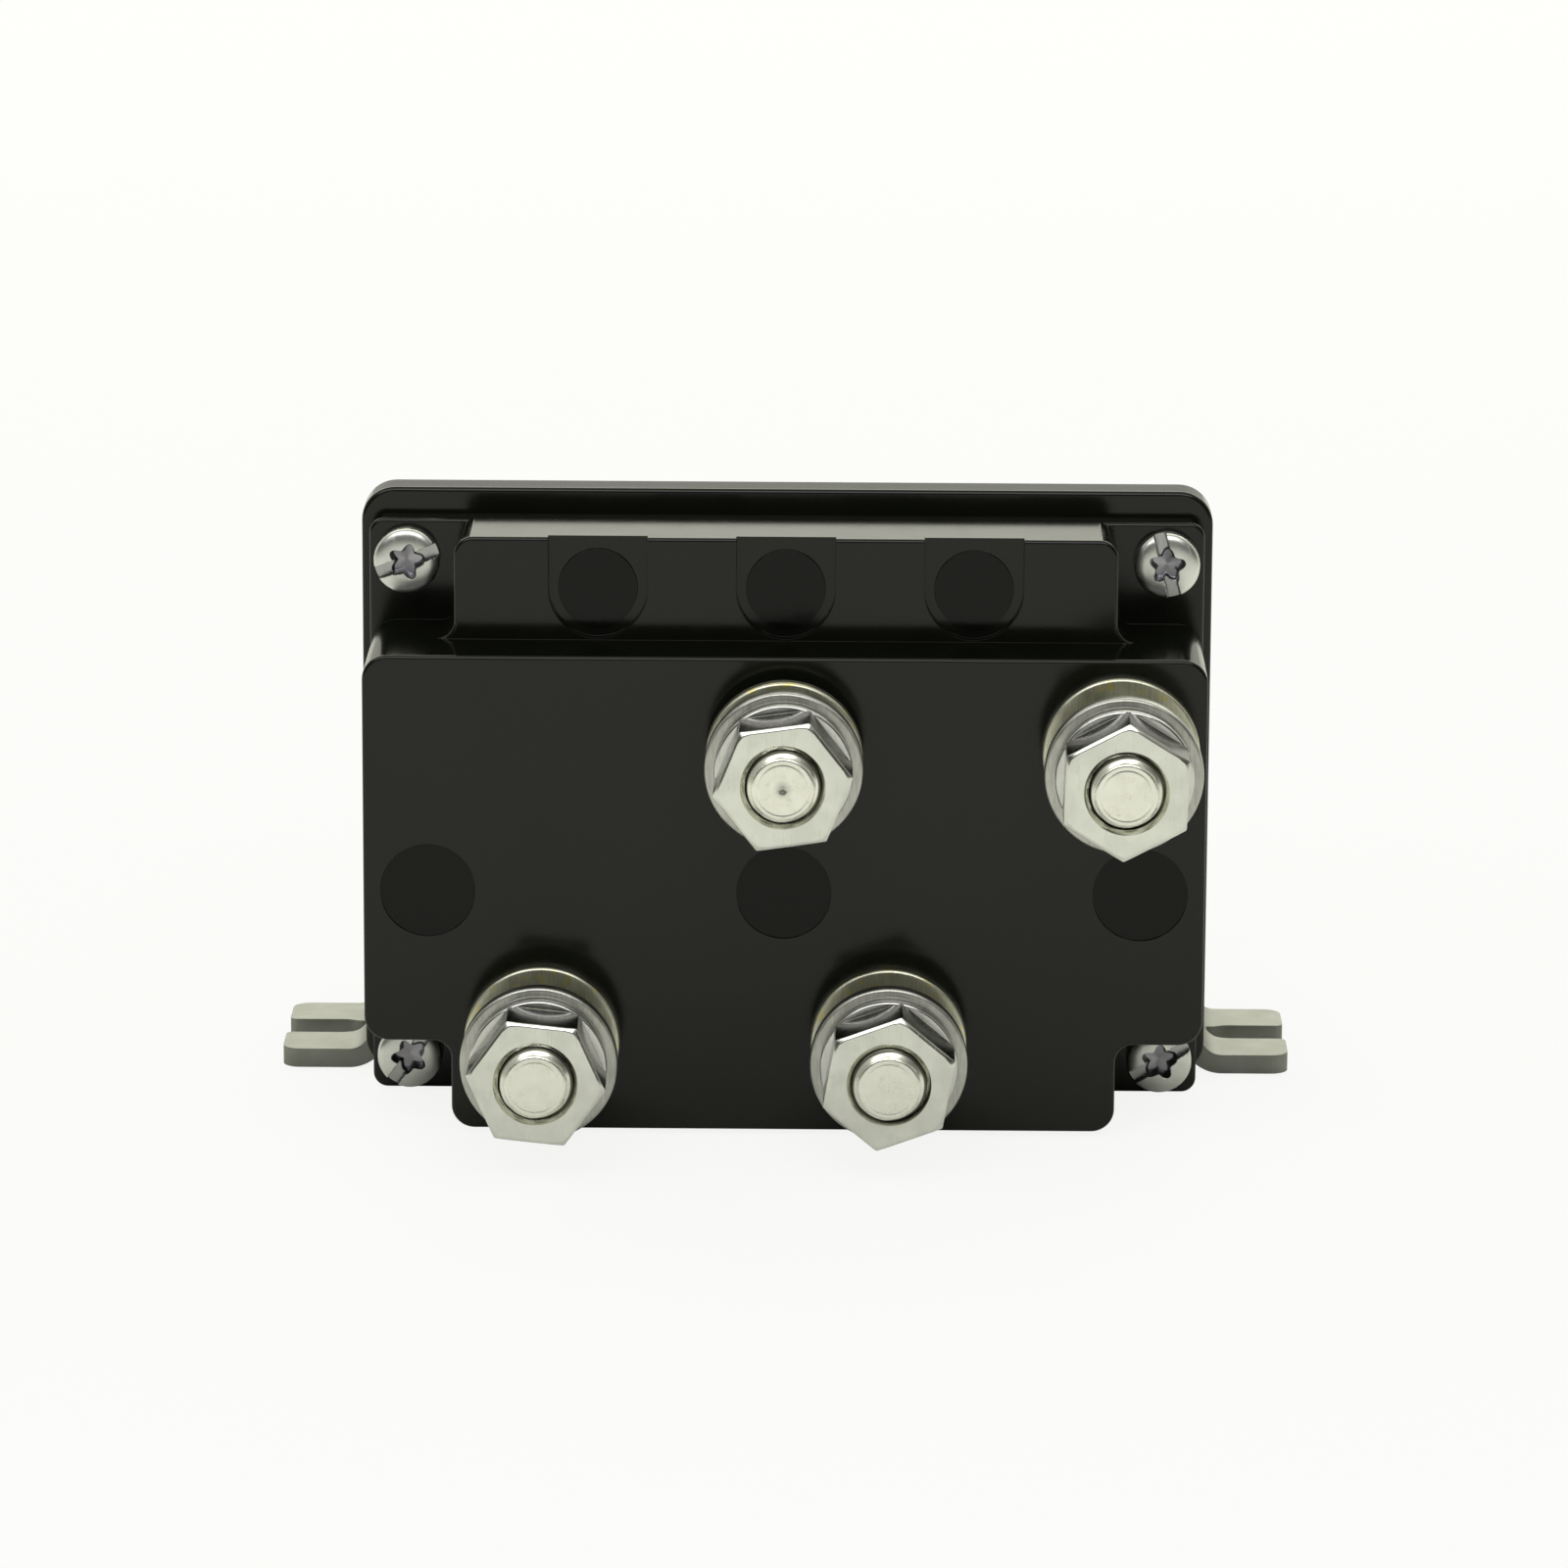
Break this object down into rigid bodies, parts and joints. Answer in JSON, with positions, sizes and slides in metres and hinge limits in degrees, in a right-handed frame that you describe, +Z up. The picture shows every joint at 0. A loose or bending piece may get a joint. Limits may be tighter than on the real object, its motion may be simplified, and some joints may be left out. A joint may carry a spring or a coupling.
{
  "type": "reversing contactor",
  "caption": "Reversing contactor: black moulded case with threaded terminal studs, two solenoid-driven contact bridges inside, push-on coil tabs and slotted steel feet.",
  "frame": {"origin": "middle of the two foot slots, on the base plane that the feet stand on", "axes": "+X to the right seen from the stud side, +Y to the back of the case, away from the studs, +Z up"},
  "size_m": [0.113, 0.0892, 0.0675],
  "materials": {
    "moulding": "moulded black phenolic, semi-gloss",
    "bright_zinc": "bright zinc plate on machined steel",
    "dull_zinc": "dull zinc plate on pressed washers",
    "tinned_stud": "tin plate, warm white",
    "foot_plate": "satin zinc plate on bent sheet steel",
    "copper": "bare copper bar",
    "contact_silver": "silver alloy",
    "soft_iron": "plain soft iron",
    "spring_wire": "drawn spring wire",
    "nylon": "natural nylon",
    "barrier_board": "brown laminated board",
    "enamelled_wire": "enamelled copper winding",
    "tab_brass": "plain brass strip"
  },
  "bodies": {
    "case": {"terminal_housing": "moulding", "coil_cover": "moulding", "cover_screws": "bright_zinc", "mounting_bracket_left": "foot_plate", "mounting_bracket_right": "foot_plate", "bracket_screws": "bright_zinc", "supply_bar_positive": "copper", "supply_bar_negative": "copper", "motor_bar_left": "copper", "motor_bar_right": "copper", "fixed_contact_tips": "contact_silver", "insulating_plate": "barrier_board", "coil_tabs": "tab_brass", "stud_1": "tinned_stud", "base_washer_1": "dull_zinc", "flat_washer_1": "dull_zinc", "spring_washer_1": "bright_zinc", "nut_1": "bright_zinc", "stud_2": "tinned_stud", "base_washer_2": "dull_zinc", "flat_washer_2": "dull_zinc", "spring_washer_2": "bright_zinc", "nut_2": "bright_zinc", "stud_3": "tinned_stud", "base_washer_3": "dull_zinc", "flat_washer_3": "dull_zinc", "spring_washer_3": "bright_zinc", "nut_3": "bright_zinc", "stud_4": "tinned_stud", "base_washer_4": "dull_zinc", "flat_washer_4": "dull_zinc", "spring_washer_4": "bright_zinc", "nut_4": "bright_zinc", "yoke_frame_left": "soft_iron", "pole_plate_left": "soft_iron", "bobbin_left": "nylon", "winding_left": "enamelled_wire", "fixed_core_left": "soft_iron", "return_spring_left": "spring_wire", "yoke_frame_right": "soft_iron", "pole_plate_right": "soft_iron", "bobbin_right": "nylon", "winding_right": "enamelled_wire", "fixed_core_right": "soft_iron", "return_spring_right": "spring_wire"},
    "armature_left": {"plunger_left": "soft_iron", "push_rod_left": "spring_wire", "retaining_clip_left": "spring_wire", "insulating_bush_left": "nylon", "moving_bridge_left": "copper", "moving_contact_tips_left": "contact_silver", "contact_spring_left": "spring_wire"},
    "armature_right": {"plunger_right": "soft_iron", "push_rod_right": "spring_wire", "retaining_clip_right": "spring_wire", "insulating_bush_right": "nylon", "moving_bridge_right": "copper", "moving_contact_tips_right": "contact_silver", "contact_spring_right": "spring_wire"}
  },
  "joints": [
    {"name": "armature_left_slide", "type": "slide", "parent": "case", "child": "armature_left", "axis": [0, 1, 0], "range_m": [0, 0.003], "stiffness_N_per_m": 900, "springref_m": -0.004, "deforming": ["return_spring_left"]},
    {"name": "armature_right_slide", "type": "slide", "parent": "case", "child": "armature_right", "axis": [0, 1, 0], "range_m": [0, 0.003], "stiffness_N_per_m": 900, "springref_m": -0.004, "deforming": ["return_spring_right"]}
  ]
}
